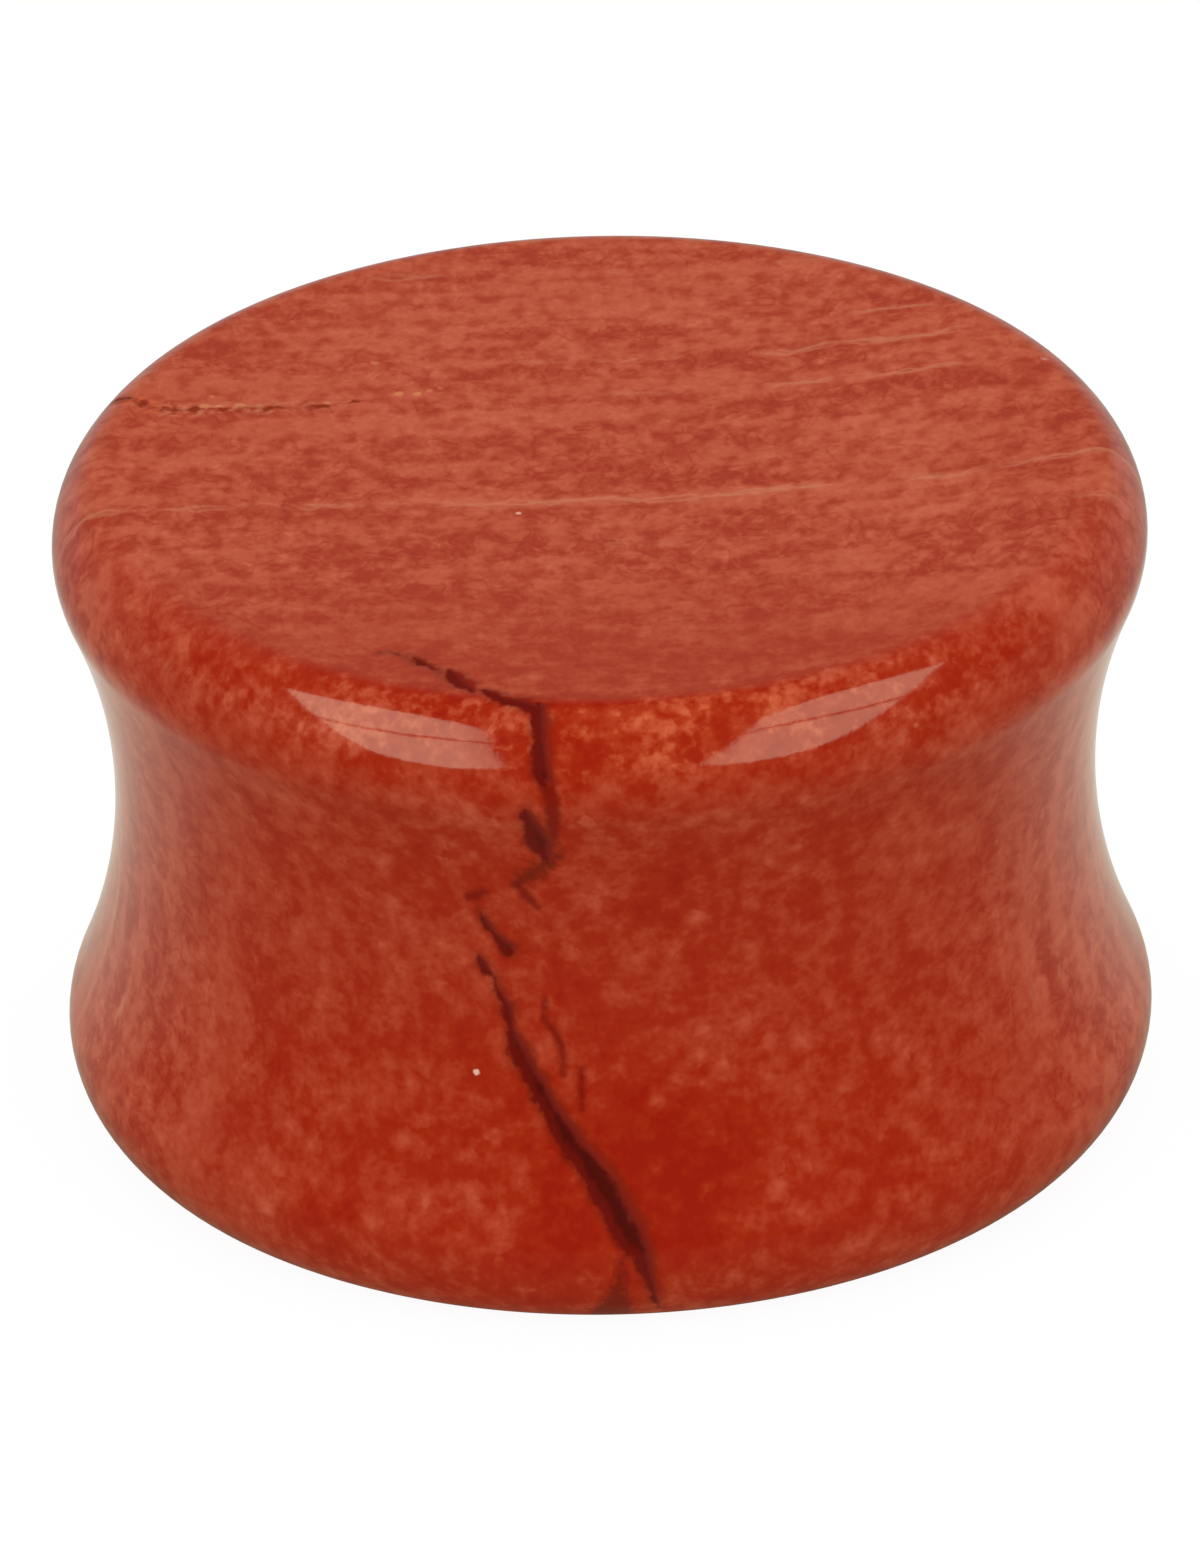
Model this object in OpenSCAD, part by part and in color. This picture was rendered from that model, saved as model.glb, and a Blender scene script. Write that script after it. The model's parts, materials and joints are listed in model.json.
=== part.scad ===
// Double-flared ear plug, turned and polished from one piece of red jasper.
// The plug stands on its back face: the origin is that face's centre, and +Z is its axis.
// The side that the dark vein runs down faces -Y.

/* [Plug] */
// Diameter of the waist, where the ear lobe sits, which is the plug's gauge
waist_d = 18; // [14:0.5:25]
// Height of each flare above the waist
flare_rise = 1; // [0.6:0.1:1.4]
// Length of the plug from face to face
plug_len = 12.6; // [11:0.2:16]

/* [Flares] */
// Radius of the round lip of each flare
lip_r = 1.7; // [1.5:0.1:2.1]
// Radius of the small round between each lip and its flat face
rim_r = 0.8; // [0.4:0.1:1.2]
// Angle that the small round turns through before it meets the lip
rim_turn = 45; // [30:5:60]

/* [Flaws] */
// Depth to which the vein and the crack are open
flaw_depth = 0.12; // [0.06:0.02:0.16]
// Width of the vein on the plug's side, where it gapes most
vein_w = 0.64; // [0.32:0.04:0.8]
// Width of the vein on the front face, at its widest
face_vein_w = 0.36; // [0.2:0.04:0.48]
// Width of the crack along the stone's bedding, where it leaves the front face
crack_w = 0.24; // [0.12:0.04:0.4]

/* [Hidden] */
$fn = 180;

// Radii of the waist and of the flares
waist_r = waist_d/2;
flare_r = waist_r + flare_rise;

// Neighbouring arcs of the turning section overlap by a hair, so that they cross at a point.
// They would be exactly tangent without it.
hair = 0.001;

// Turning section: a lip's round, a small round at the face's rim, and the hollow of the
// waist. The rim's round passes a hair through the flat face and through the lip's arc.
lip_centre_r = flare_r - lip_r;
rim_offset = lip_r + hair - rim_r;
rim_centre_r = lip_centre_r + rim_offset*sin(rim_turn);
rim_centre_z = plug_len + hair - rim_r;
lip_centre_z = rim_centre_z - rim_offset*cos(rim_turn);

// The hollow's arc passes through the waist at mid length and a hair inside both lips' arcs
lip_aside = lip_centre_r - waist_r;
lip_height = lip_centre_z - plug_len/2;
touch_r = lip_r - hair;
hollow_r = (pow(lip_aside, 2) + pow(lip_height, 2) - pow(touch_r, 2))/(2*(flare_rise - hair));
hollow_centre_r = waist_r + hollow_r;

// A point inside the lip, straight between the lip's centre and the hollow's
inner_share = lip_r/2/(hollow_r + touch_r);
lip_inner_r = lip_centre_r + (hollow_centre_r - lip_centre_r)*inner_share;
lip_inner_z = lip_centre_z - lip_height*inner_share;

// Cuts from the side begin inside the waist, and all cuts end clear of the plug
side_start = 0.9*waist_r;
clearance = lip_r;

// Columns of the tables. Each row is a place along a flaw, and each place is the middle of
// its width. ASIDE is a share of the waist's radius, with left negative as seen from the
// front. HEIGHT is a share of the plug's length, and AWAY a share of the waist's radius with
// the side of the vein negative. WIDTH is a share of that flaw's greatest width.
ASIDE = 0;
HEIGHT = 1;
AWAY = 1;
WIDTH = 2;

// Open stretches of the vein on the plug's side
LIP_VEIN = [
    [-0.125, 0.982, 0.55],
    [-0.126, 0.95, 0.42],
    [-0.125, 0.925, 0.52],
    [-0.122, 0.905, 0.3]
];
UPPER_VEIN = [
    [-0.16, 0.86, 0.12],
    [-0.145, 0.825, 0.36],
    [-0.133, 0.79, 0.52],
    [-0.125, 0.76, 0.34]
];
MIDDLE_VEIN = [
    [-0.253, 0.655, 0.14],
    [-0.243, 0.63, 0.3],
    [-0.226, 0.607, 0.46],
    [-0.215, 0.59, 0.4]
];
LOWER_VEIN = [
    [-0.26, 0.572, 0.14],
    [-0.226, 0.53, 0.36],
    [-0.209, 0.507, 0.4],
    [-0.19, 0.435, 0.62],
    [-0.16, 0.39, 0.56],
    [-0.122, 0.34, 0.64],
    [-0.078, 0.29, 0.8],
    [-0.014, 0.225, 1],
    [0.027, 0.17, 0.96],
    [0.053, 0.142, 0.66],
    [0.071, 0.087, 0.24],
    [0.078, 0.052, 0.12]
];

// The vein's thin end on the front face, and the crack that reaches that face's left edge
FACE_VEIN = [
    [-0.36, -0.84, 0.2],
    [-0.318, -0.885, 0.3],
    [-0.29, -0.91, 1],
    [-0.262, -0.95, 0.6],
    [-0.234, -0.965, 0.4],
    [-0.161, -1.005, 0.5],
    [-0.144, -1.025, 1],
    [-0.106, -1.04, 1]
];
BEDDING_CRACK = [
    [-1.06, 0.345, 1],
    [-0.96, 0.32, 0.9],
    [-0.9, 0.29, 0.6],
    [-0.83, 0.285, 0.3],
    [-0.66, 0.28, 0.4],
    [-0.6, 0.28, 0.25]
];

// Outline of a band from its middles and widths. Its edges lie to both sides, along across.
function band(middles, widths, across) = concat(
    [for (i = [0 : len(middles) - 1]) middles[i] - across*widths[i]/2],
    [for (i = [len(middles) - 1 : -1 : 0]) middles[i] + across*widths[i]/2]
);

// The two rounds of the front flare, with their surfaces moved inwards. The lip's round
// stops where the rim's round takes over.
module flare_rounds(inwards) {
    translate([rim_centre_r, rim_centre_z]) circle(rim_r - inwards);
    translate([lip_centre_r, lip_centre_z]) intersection() {
        circle(lip_r - inwards);
        polygon(2*lip_r*[[0, 0], [sin(rim_turn), cos(rim_turn)], [1, -1], [0, -1]]);
    }
}

// Turning section, with its whole surface moved inwards
module section(inwards) {
    difference() {
        intersection() {
            translate([0, inwards]) square([flare_r + clearance, plug_len - 2*inwards]);
            union() {
                polygon([
                    [-clearance, -clearance],
                    [rim_centre_r, -clearance],
                    [rim_centre_r, plug_len - rim_centre_z],
                    [lip_inner_r, plug_len - lip_inner_z],
                    [hollow_centre_r, plug_len/2],
                    [lip_inner_r, lip_inner_z],
                    [rim_centre_r, rim_centre_z],
                    [rim_centre_r, plug_len + clearance],
                    [-clearance, plug_len + clearance]
                ]);
                flare_rounds(inwards);
                translate([0, plug_len]) mirror([0, 1]) flare_rounds(inwards);
            }
        }
        translate([hollow_centre_r, plug_len/2]) circle(hollow_r + inwards);
    }
}

module turned(inwards) {
    rotate_extrude() section(inwards);
}

// Room that an open stretch of the vein takes on the plug's side, seen level from the front
module side_flaw(rows) {
    middles = [for (row = rows) [row[ASIDE]*waist_r, row[HEIGHT]*plug_len]];
    widths = [for (row = rows) row[WIDTH]*vein_w];
    translate([0, -side_start, 0]) rotate([90, 0, 0])
        linear_extrude(flare_r + clearance - side_start) polygon(band(middles, widths, [1, 0]));
}

// Room that a crack takes on the front face and its rim, seen from above the face
module face_flaw(rows, greatest) {
    middles = [for (row = rows) [row[ASIDE], row[AWAY]]*waist_r];
    widths = [for (row = rows) row[WIDTH]*greatest];
    translate([0, 0, lip_centre_z])
        linear_extrude(lip_r + clearance) polygon(band(middles, widths, [0, 1]));
}

// Everything that is open in the surface, down to a core that is smaller by the flaws' depth
module flaws() {
    difference() {
        union() {
            side_flaw(LIP_VEIN);
            side_flaw(UPPER_VEIN);
            side_flaw(MIDDLE_VEIN);
            side_flaw(LOWER_VEIN);
            face_flaw(FACE_VEIN, face_vein_w);
            face_flaw(BEDDING_CRACK, crack_w);
        }
        turned(flaw_depth);
    }
}

module plug() {
    color([0.66, 0.2, 0.1]) difference() {
        turned(0);
        flaws();
    }
}

plug();
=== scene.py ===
"""Double-flared ear plug of polished red jasper, crossed by an open dark vein.

The plug stands on its back face, with its axis along +Z and the vein's side facing -Y.
Lengths are in metres unless a name or a comment says millimetres.
"""

import itertools
import json
from math import radians

import bpy
import numpy as np
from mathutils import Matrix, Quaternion, Vector


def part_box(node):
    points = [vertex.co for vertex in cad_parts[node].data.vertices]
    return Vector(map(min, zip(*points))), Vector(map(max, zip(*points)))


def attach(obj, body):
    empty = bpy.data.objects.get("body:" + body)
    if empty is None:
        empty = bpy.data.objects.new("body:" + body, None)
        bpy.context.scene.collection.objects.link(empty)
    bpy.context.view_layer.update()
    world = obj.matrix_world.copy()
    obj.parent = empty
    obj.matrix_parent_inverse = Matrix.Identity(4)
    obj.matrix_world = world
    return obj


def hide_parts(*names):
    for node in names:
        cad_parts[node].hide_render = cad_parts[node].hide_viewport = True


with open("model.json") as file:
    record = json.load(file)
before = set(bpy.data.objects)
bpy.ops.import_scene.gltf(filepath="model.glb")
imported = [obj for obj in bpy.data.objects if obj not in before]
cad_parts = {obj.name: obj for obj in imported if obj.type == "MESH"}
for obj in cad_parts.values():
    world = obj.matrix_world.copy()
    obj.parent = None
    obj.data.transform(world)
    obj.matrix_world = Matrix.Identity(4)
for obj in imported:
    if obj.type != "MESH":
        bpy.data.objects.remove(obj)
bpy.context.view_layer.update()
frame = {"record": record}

bl_info = {
    "name": "Jasper ear plug",
    "version": (1, 0, 0),
    "blender": (4, 5, 0),
    "location": "3D View > Sidebar > Ear plug",
    "description": "Turns a double-flared stone ear plug and sets it on a studio stage",
    "category": "Add Mesh",
}

MM = 0.001

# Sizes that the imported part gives
PLUG_LOW, PLUG_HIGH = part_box("plug")
LOBE_SEAT = next(m for m in frame["record"]["mounts"] if m["name"] == "lobe_seat")


# Sizes and colours that a user would change


def length_setting(name, description, default):
    """A length in metres."""
    return bpy.props.FloatProperty(
        name=name, description=description, default=default, unit="LENGTH", precision=5
    )


def angle_setting(name, description, degrees):
    """An angle, whose default is given in degrees."""
    return bpy.props.FloatProperty(
        name=name, description=description, default=radians(degrees), subtype="ANGLE"
    )


def brightness_setting(name, description, default):
    """A brightness, from 0 up."""
    return bpy.props.FloatProperty(name=name, description=description, default=default, min=0)


def colour_setting(name, description, default):
    """A colour by its linear red, green and blue."""
    return bpy.props.FloatVectorProperty(
        name=name, description=description, default=default, subtype="COLOR"
    )


class PlugSizes(bpy.types.PropertyGroup):
    """Sizes of the turned form and of its open flaws."""

    flare_radius: length_setting(
        "Flare radius", "Greatest radius of each flare", (PLUG_HIGH.x - PLUG_LOW.x)/2
    )
    waist_radius: length_setting(
        "Waist radius",
        "Smallest radius of the hollow where the ear lobe sits",
        LOBE_SEAT["dims"]["r_mm"]*MM,
    )
    length: length_setting(
        "Length", "Length of the plug from face to face", PLUG_HIGH.z - PLUG_LOW.z
    )
    lip_radius: length_setting("Lip radius", "Radius of the round lip of each flare", 1.7*MM)
    rim_radius: length_setting(
        "Rim radius", "Radius of the small round between each lip and its flat face", 0.8*MM
    )
    rim_turn: angle_setting(
        "Rim turn", "Angle that the small round turns through before it meets the lip", 45
    )
    flaw_depth: length_setting(
        "Flaw depth", "Greatest depth of a wholly open flaw. Each flaw has a share of it", 0.12*MM
    )


class JasperFinish(bpy.types.PropertyGroup):
    """Colours of the stone, and of the painted shade in its vein."""

    deep_red: colour_setting("Deep red", "Darkest mottles of the stone", (0.34, 0.010, 0.001))
    red: colour_setting("Red", "Body colour of the stone", (0.385, 0.021, 0.003))
    warm_red: colour_setting(
        "Warm red", "Paler ground of the stone past its axis", (0.45, 0.048, 0.016)
    )
    pale_red: colour_setting("Pale red", "Pale mottles of the stone", (0.52, 0.080, 0.035))
    palest_red: colour_setting(
        "Palest red", "Lightest flecks of the stone", (0.60, 0.125, 0.060)
    )
    seam: colour_setting("Pale seam", "Thin pale seams along the stone's beds", (0.62, 0.19, 0.10))
    # Painted shadow: the vein's dark left side, over its dark filling
    vein_fill_and_shadow: colour_setting("Vein core", "Dark side of the open vein", (0.148, 0.0025, 0.0002))
    # Painted shade: the vein's darkest inside, over its dark filling
    vein_heart_fill_and_shade: colour_setting(
        "Vein heart", "Darkest inside of the vein where it gapes widest", (0.062, 0.0008, 0.0)
    )
    vein_maroon: colour_setting(
        "Vein slope", "Maroon middle of the open vein", (0.172, 0.009, 0.004)
    )
    vein_edge: colour_setting(
        "Vein edge", "Deep red where the vein's slope reaches the surface", (0.26, 0.011, 0.002)
    )
    rust: colour_setting("Rust stain", "Brown stain beside the vein", (0.165, 0.008, 0.001))
    hairline: colour_setting("Hairline", "Deep red of the closed hairlines", (0.20, 0.004, 0.0004))
    crack: colour_setting(
        "Crack", "Brown pits along the crack in the front face", (0.25, 0.022, 0.004)
    )
    rim_orange: colour_setting(
        "Rim orange", "Crumbs of the crack where it meets the rim", (0.60, 0.085, 0.022)
    )
    amber: colour_setting("Amber", "Golden flecks along the crack", (0.72, 0.24, 0.085))
    quartz: colour_setting("Quartz", "Small white grains", (1.0, 0.64, 0.52))


class StageSettings(bpy.types.PropertyGroup):
    """Camera and lights."""

    elevation: angle_setting("Camera elevation", "Angle of the camera above level", 28.6)
    distance: length_setting(
        "Camera distance", "Distance of the camera from the middle of the plug", 0.3643
    )
    roll: angle_setting("Camera roll", "Turn of the camera about its own line of sight", -1.35)
    softbox: brightness_setting(
        "Softbox brightness", "Brightness of the face of each front softbox", 1.05
    )
    card: brightness_setting(
        "Card brightness", "Brightness of the two cards that the front lip mirrors", 2.9
    )
    fill: brightness_setting("Fill", "Brightness of the soft light from the sides", 0.90)
    overhead: brightness_setting(
        "Overhead", "Brightness that the soft light gains towards the top", 0.42
    )
    bounce: brightness_setting(
        "Bounce", "Brightness of the light that the white floor throws back", 0.68
    )
    backdrop: brightness_setting(
        "Backdrop", "Brightness of the backdrop that the front face mirrors", 0.26
    )


# Turned form


def smooth(t):
    """Smooth step: 3 t squared minus 2 t cubed, for t from 0 to 1."""
    t = np.clip(t, 0, 1)
    return t*t*(3 - 2*t)


def turned_profile(places, sizes):
    """Radius, height and tilt of the plug's surface at each place along its profile.

    Place 0 is the middle of the front face, 1 its edge, 2 where the lip meets the hollow
    and 3 the waist. Places 4, 5 and 6 are the mirror images of 2, 1 and 0.
    From 0 to 1 the radius grows evenly at full height. From 1 to 2 the tilt grows evenly
    from level: up to the rim turn the point is on an arc about the rim's centre, and past
    it on an arc about the lip's centre. From 2 to 3 the tilt goes evenly to upright on the
    hollow's arc, which touches the lip's arc and passes through the waist. For each arc
    radius = centre + arc radius * sin(tilt) and height = centre + arc radius * cos(tilt),
    and for the hollow the arc radius counts as negative.
    """
    lip, rim = sizes.lip_radius, sizes.rim_radius
    lip_middle = sizes.flare_radius - lip
    face_radius = lip_middle + (lip - rim)*np.sin(sizes.rim_turn)
    rim_height = sizes.length - rim
    lip_height = rim_height - (lip - rim)*np.cos(sizes.rim_turn)
    aside = lip_middle - sizes.waist_radius
    above = lip_height - sizes.length/2
    hollow = (aside**2 + above**2 - lip**2)/(2*(sizes.flare_radius - sizes.waist_radius))
    meeting = np.pi/2 + np.arcsin(above/(hollow + lip))

    places = np.asarray(places, float)
    upper = np.minimum(places, 6 - places)
    tilt = np.interp(upper, [1, 2, 3], [0, meeting, np.pi/2])
    on_face = upper <= 1
    on_rim = (upper <= 2) & (tilt < sizes.rim_turn)
    on_lip = upper <= 2
    kinds = [on_face, on_rim, on_lip]
    radius = np.select(kinds, [
        upper*face_radius,
        face_radius + rim*np.sin(tilt),
        lip_middle + lip*np.sin(tilt),
    ], sizes.waist_radius + hollow - hollow*np.sin(tilt))
    height = np.select(kinds, [
        np.full_like(upper, sizes.length),
        rim_height + rim*np.cos(tilt),
        lip_height + lip*np.cos(tilt),
    ], sizes.length/2 - hollow*np.cos(tilt))
    lower = places > 3
    return (
        radius,
        np.where(lower, sizes.length - height, height),
        np.where(lower, np.pi - tilt, tilt),
    )


# Rows of the plug's mesh, by stretches of its profile: first place, last place and rows
ROW_STRETCHES = (
    (0.03, 0.50, 10),
    (0.50, 0.86, 30),
    (0.86, 1.00, 22),
    (1.00, 2.00, 66),
    (2.00, 4.00, 124),
    (4.00, 5.00, 36),
    (5.00, 5.97, 11),
)
COLUMNS = 320

# Zones where the columns are closer together, for the vein, its left side and the crack:
# middle and half width in degrees, and gain in density
DENSE_ZONES = (
    (-8.0, 14.0, 8.0),
    (-25.0, 6.0, 3.0),
    (-111.5, 7.0, 5.0),
)
ZONE_FALLOFF = 4
STEPS_PER_DEGREE = 20


def spread_places():
    """Places of the mesh's rows, even within each stretch, with the end of the last one."""
    rows = [np.linspace(first, last, count, endpoint=False) for first, last, count in ROW_STRETCHES]
    return np.append(np.concatenate(rows), ROW_STRETCHES[-1][1])


def spread_azimuths():
    """Azimuths of the mesh's columns in radians, with 0 at the vein's side.

    Their density is 1 plus each zone's gain times a window that is 1 within the zone's half
    width and falls smoothly to 0 over a few degrees. They share its running total evenly.
    """
    fine = np.linspace(-180, 180, 360*STEPS_PER_DEGREE + 1)
    density = np.ones_like(fine)
    for middle, half_width, gain in DENSE_ZONES:
        outside = np.clip((np.abs(fine - middle) - half_width)/ZONE_FALLOFF, 0, 1)
        density += gain*(1 - smooth(outside))
    total = np.cumsum(density) - density[0]
    return np.radians(np.interp(np.arange(COLUMNS)/COLUMNS*total[-1], total, fine))


def turned_grid(sizes):
    """Points of the turned form and their outward normals, in rows and columns.

    At azimuth a and a place of the profile the point is (r sin a, -r cos a, z), where r and
    z are the profile's. With the profile's tilt t the normal is
    (sin t sin a, -sin t cos a, cos t).
    """
    radius, height, tilt = (each[:, None] for each in turned_profile(spread_places(), sizes))
    azimuths = spread_azimuths()[None]
    sine, cosine = np.sin(azimuths), np.cos(azimuths)
    out = np.sin(tilt)
    points = np.stack([radius*sine, -radius*cosine, height + 0*sine], -1)
    normals = np.stack([out*sine, -out*cosine, np.cos(tilt) + 0*sine], -1)
    return points, normals


# Flaws. Each row is a place along a flaw, in millimetres as seen in the stone: aside is to
# the right of the axis seen from the vein's side, and the last column is the flaw's width.
# On the side the second column is the height above the floor. On the top it is the distance
# away from the viewer, past the axis.

VEIN_TIP = (
    (-3.95, -7.05, 0.01),
    (-3.45, -7.20, 0.04),
    (-3.30, -7.38, 0.16),
    (-3.06, -7.70, 0.17),
    (-2.92, -7.86, 0.06),
)
VEIN_BLOB = (
    (-2.72, -7.84, 0.10),
    (-2.63, -8.05, 0.30),
    (-2.50, -8.33, 0.34),
    (-2.34, -8.56, 0.16),
)
VEIN_OVER_EDGE = (
    (-2.14, -8.56, 0.14),
    (-1.95, -8.74, 0.28),
    (-1.74, -8.92, 0.25),
    (-1.43, -9.02, 0.22),
    (-1.20, -9.18, 0.28),
)
VEIN_DOWN_LIP = (
    (-1.14, 12.54, 0.30),
    (-1.13, 12.30, 0.28),
    (-1.13, 12.00, 0.29),
    (-1.11, 11.80, 0.33),
    (-1.09, 11.62, 0.36),
    (-1.08, 11.52, 0.33),
    (-1.07, 11.48, 0.16),
)
VEIN_UNDER_LIP = (
    (-1.44, 10.86, 0.08),
    (-1.40, 10.70, 0.22),
    (-1.31, 10.45, 0.36),
    (-1.23, 10.20, 0.46),
    (-1.15, 9.95, 0.46),
    (-1.10, 9.74, 0.28),
    (-1.05, 9.60, 0.10),
)
VEIN_MIDDLE = (
    (-2.31, 8.28, 0.07),
    (-2.25, 8.10, 0.18),
    (-2.17, 7.93, 0.22),
    (-2.06, 7.80, 0.14),
    (-1.93, 7.64, 0.22),
    (-1.81, 7.50, 0.28),
    (-1.73, 7.42, 0.10),
)
VEIN_LOWER = (
    (-2.34, 7.26, 0.05),
    (-2.29, 7.14, 0.20),
    (-2.20, 7.00, 0.17),
    (-2.07, 6.84, 0.13),
    (-2.04, 6.62, 0.04),
    (-1.94, 6.44, 0.11),
    (-1.86, 6.26, 0.22),
    (-1.81, 6.06, 0.23),
    (-1.79, 5.80, 0.15),
    (-1.71, 5.48, 0.38),
    (-1.44, 4.92, 0.38),
    (-1.10, 4.27, 0.41),
    (-0.70, 3.64, 0.50),
    (-0.14, 2.84, 0.62),
    (0.24, 2.16, 0.61),
    (0.46, 1.79, 0.44),
    (0.62, 1.10, 0.18),
    (0.70, 0.65, 0.10),
    (0.73, 0.40, 0.05),
)
RIM_NOTCH = (
    (-8.90, 3.28, 0.05),
    (-8.80, 3.22, 0.13),
    (-8.68, 3.14, 0.10),
    (-8.55, 3.06, 0.03),
)
HAIRLINE_UNDER_LIP = (
    (-1.05, 11.44, 0.20),
    (-0.98, 11.10, 0.26),
    (-0.95, 10.77, 0.25),
    (-0.94, 10.40, 0.17),
    (-0.96, 10.10, 0.06),
)
HAIRLINE_BRANCH = (
    (-1.60, 8.92, 0.10),
    (-1.48, 8.72, 0.16),
    (-1.27, 8.46, 0.08),
)
HAIRLINE_DOT = (
    (-2.50, 8.56, 0.13),
    (-2.36, 8.64, 0.15),
    (-2.20, 8.74, 0.08),
)
HAIRLINE_UPPER = (
    (-1.19, 6.46, 0.03),
    (-1.19, 6.03, 0.07),
    (-1.02, 5.79, 0.09),
    (-0.90, 5.51, 0.11),
    (-0.87, 4.95, 0.05),
)
HAIRLINE_LOWER = (
    (-0.57, 5.06, 0.05),
    (-0.56, 4.70, 0.08),
    (-0.56, 4.29, 0.05),
)
STAIN_PATCH = (
    (-0.88, 9.72, 0.18),
    (-1.04, 9.56, 0.30),
    (-1.22, 9.37, 0.36),
    (-1.42, 9.20, 0.36),
    (-1.62, 9.00, 0.22),
)
STAIN_FOOT = (
    (0.10, 1.62, 0.10),
    (0.04, 1.10, 0.26),
    (-0.04, 0.70, 0.50),
    (-0.10, 0.30, 0.80),
)
CRACK = (
    (-9.55, 3.22, 0.06),
    (-9.20, 3.16, 0.20),
    (-8.76, 3.08, 0.26),
    (-8.45, 2.92, 0.14),
    (-8.15, 2.66, 0.16),
    (-7.90, 2.54, 0.18),
    (-7.60, 2.50, 0.16),
    (-7.20, 2.52, 0.08),
    (-6.90, 2.50, 0.12),
    (-6.50, 2.53, 0.08),
    (-5.98, 2.51, 0.13),
    (-5.60, 2.50, 0.08),
    (-4.85, 2.54, 0.10),
    (-4.44, 2.66, 0.09),
    (-4.10, 2.76, 0.04),
)

# The vein's open stretches, each with the share of a flaw's depth to which it is open. It
# gapes on the side, and it is nearly closed on the face and down the lip.
VEIN_ON_TOP = (
    (VEIN_TIP, 0.03),
    (VEIN_BLOB, 0.08),
    (VEIN_OVER_EDGE, 0.05),
    (RIM_NOTCH, 0.50),
)
VEIN_ON_SIDE = (
    (VEIN_DOWN_LIP, 0.04),
    (VEIN_UNDER_LIP, 0.45),
    (VEIN_MIDDLE, 0.45),
    (VEIN_LOWER, 0.38),
)
HAIRLINES = (
    HAIRLINE_UNDER_LIP,
    HAIRLINE_BRANCH,
    HAIRLINE_DOT,
    HAIRLINE_UPPER,
    HAIRLINE_LOWER,
)
STAINS = (STAIN_PATCH, STAIN_FOOT)
CRACK_OPENNESS = 0.12
HAIRLINE_OPENNESS = 0.04

# Distances from a flaw's outline within which its wall goes down
FLAW_WALL = 0.04*MM
HAIRLINE_WALL = 0.05*MM

# Ragged outlines: reach and size of each ripple, and how much more ragged the crack is
RAGGED_RIPPLES = (
    (0.057*MM, 0.21*MM),
    (0.034*MM, 0.09*MM),
)
CRACK_RAGGEDNESS = 1.4

# Crumbs that fill the flaws: their size, and the share of the depth that is left on average,
# how far it changes and the least of it
CRUMB_SIZE = 0.16*MM
CRUMB_MIDDLE, CRUMB_REACH, CRUMB_LEAST = 0.8, 0.4, 0.4
CRUMB_SEED = len(RAGGED_RIPPLES) + 1

# Whole numbers that mix a lattice corner's place into a value that looks random
PLACE_MIXERS = np.array([73856093, 19349663, 83492791])
SEED_MIXER = 2654435
VALUE_MIXER = 1274126177
LOW_31_BITS = 0x7FFFFFFF
LOW_16_BITS = 0xFFFF


def ripple(points, size, seed):
    """Smooth noise from -1 to 1 in space, with lumps about as large as size.

    Each corner of a cubic lattice has a fixed value, which comes from its whole numbers,
    and a point's value is its cell's eight corners blended with smooth steps.
    """
    grid = points/size
    corner = np.floor(grid).astype(np.int64)
    share = smooth(grid - corner)
    total = np.zeros(points.shape[:-1])
    for step in itertools.product((0, 1), repeat=3):
        mixed = (corner + step) @ PLACE_MIXERS + seed*SEED_MIXER
        mixed = (mixed ^ (mixed >> 13))*VALUE_MIXER & LOW_31_BITS
        mixed = (mixed ^ (mixed >> 16)) & LOW_16_BITS
        weight = np.prod(np.where(step, share, 1 - share), axis=-1)
        total += weight*(2*mixed/LOW_16_BITS - 1)
    return total


def flaw_on_top(rows, sizes):
    """Path and widths of a flaw given by aside and away, dropped on the front half's top.

    A point's height is the profile's height at its distance from the axis.
    """
    x, y, widths = np.array(rows).T*MM
    radius, height, _ = turned_profile(np.linspace(0, 1.8, 400), sizes)
    z = np.interp(np.hypot(x, y), radius, height)
    return np.stack([x, y, z], -1), widths


def flaw_on_side(rows, sizes):
    """Path and widths of a flaw given by aside and height, pushed back to the plug's side.

    With r the profile's radius at that height, a point's y is minus the root of r squared
    minus x squared.
    """
    x, z, widths = np.array(rows).T*MM
    radius, height, _ = turned_profile(np.linspace(5, 1, 1200), sizes)
    r = np.interp(z, height, radius)
    return np.stack([x, -np.sqrt(r*r - x*x), z], -1), widths


def flaw_field(points, normals, path, widths):
    """How far inside a flaw each point lies, where across it, and the flaw's width there.

    For each straight piece of the path, the nearest place on it gives a distance and a half
    width. The first result is the half width less the distance, the greatest of all pieces.
    The second is the distance over the half width, positive to the left of the path's way
    as seen from outside, and the third is the width, both of that same piece.
    """
    inside = np.full(len(points), -1.0)
    across = np.zeros(len(points))
    width = np.zeros(len(points))
    for start, end, first, last in zip(path[:-1], path[1:], widths[:-1], widths[1:]):
        way = end - start
        offset = points - start
        share = np.clip(offset @ way/(way @ way), 0, 1)
        gap = np.linalg.norm(offset - share[:, None]*way, axis=1)
        half = (first + (last - first)*share)/2
        turn = np.sign(np.einsum("ij,ij->i", np.cross(way, offset), normals))
        nearer = half - gap > inside
        inside = np.where(nearer, half - gap, inside)
        across = np.where(nearer, turn*gap/half, across)
        width = np.where(nearer, 2*half, width)
    return inside, across, width


def join_flaws(points, normals, flaws):
    """The fields of several flaws as one: at each point, those of the flaw it lies deepest in.

    A flaw is its path and widths, and how open it is, which becomes the fourth field.
    """
    best = None
    for (path, widths), openness in flaws:
        field = (
            *flaw_field(points, normals, path, widths),
            np.full(len(points), float(openness)),
        )
        if best is None:
            best = field
        else:
            deeper = field[0] > best[0]
            best = tuple(np.where(deeper, new, old) for new, old in zip(field, best))
    return best


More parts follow.
